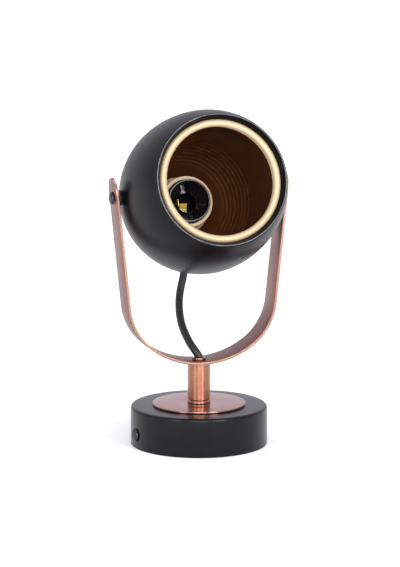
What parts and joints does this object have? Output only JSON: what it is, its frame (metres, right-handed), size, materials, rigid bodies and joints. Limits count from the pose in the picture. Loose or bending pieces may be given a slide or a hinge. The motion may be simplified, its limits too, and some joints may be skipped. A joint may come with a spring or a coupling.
{
  "type": "wall light",
  "caption": "Wall light with an egg-shaped shade that tilts between the arms of a copper U-strap on a short stem and a round canopy.",
  "frame": {"origin": "centre of the wall bar's underside, on the mounting plane of the canopy", "axes": "+Z away from the wall along the stem, +X along the strap towards the right arm, -Y the way the shade's mouth faces"},
  "size_m": [0.134, 0.143, 0.2494],
  "materials": {
    "black_paint": "satin black powder coat",
    "copper": "satin copper plating on steel",
    "gold_paint": "pale gold lacquer",
    "zinc_plate": "bright zinc plating",
    "brass": "bright rolled strip",
    "black_plastic": "gloss black thermoset",
    "white_plastic": "matt white nylon",
    "black_rubber": "matt black sheath",
    "brown_jacket": "brown core insulation",
    "blue_jacket": "blue core insulation",
    "green_jacket": "green and yellow core insulation"
  },
  "bodies": {
    "base": {"canopy": "black_paint", "wall_bar": "zinc_plate", "canopy_screw_left": "black_paint", "canopy_screw_right": "black_paint", "terminal_block": "white_plastic", "terminal_block_screw": "zinc_plate", "terminal_screw_live": "brass", "terminal_screw_neutral": "brass", "earth_washer": "zinc_plate", "earth_screw": "zinc_plate", "core_live": "brown_jacket", "core_neutral": "blue_jacket", "core_earth": "green_jacket", "cord_grip": "white_plastic", "cord_grip_screw": "zinc_plate", "base_disc": "copper", "stem_foot_ring": "copper", "stem": "copper", "hollow_bolt": "copper", "bolt_washer": "zinc_plate", "bolt_nut": "zinc_plate", "stem_cable": "black_rubber"},
    "bracket": {"strap": "copper", "pivot_screw_left": "black_paint", "pivot_screw_right": "black_paint", "spacer_left": "black_plastic", "spacer_right": "black_plastic", "cable": "black_rubber"},
    "shade": {"shade": "black_paint", "reflector": "gold_paint", "holder_collar": "gold_paint", "lampholder": "black_plastic", "centre_contact": "brass", "side_contact": "brass", "contact_rivet": "zinc_plate", "holder_bracket": "zinc_plate", "holder_screw_left": "zinc_plate", "holder_screw_right": "zinc_plate", "rear_screw": "black_paint", "pivot_washer_left": "zinc_plate", "pivot_washer_right": "zinc_plate", "pivot_nut_left": "zinc_plate", "pivot_nut_right": "zinc_plate", "cable_grommet": "black_rubber", "holder_core_live": "brown_jacket", "holder_core_neutral": "blue_jacket"}
  },
  "joints": [
    {"name": "bracket_swivel", "type": "hinge", "parent": "base", "child": "bracket", "pos_m": [0, 0, 0.062], "axis": [0, 0, 1], "range_deg": [-90, 90]},
    {"name": "shade_tilt", "type": "hinge", "parent": "bracket", "child": "shade", "pos_m": [0, 0, 0.184], "axis": [1, 0, 0], "range_deg": [-30, 10], "deforming": ["cable"]}
  ]
}
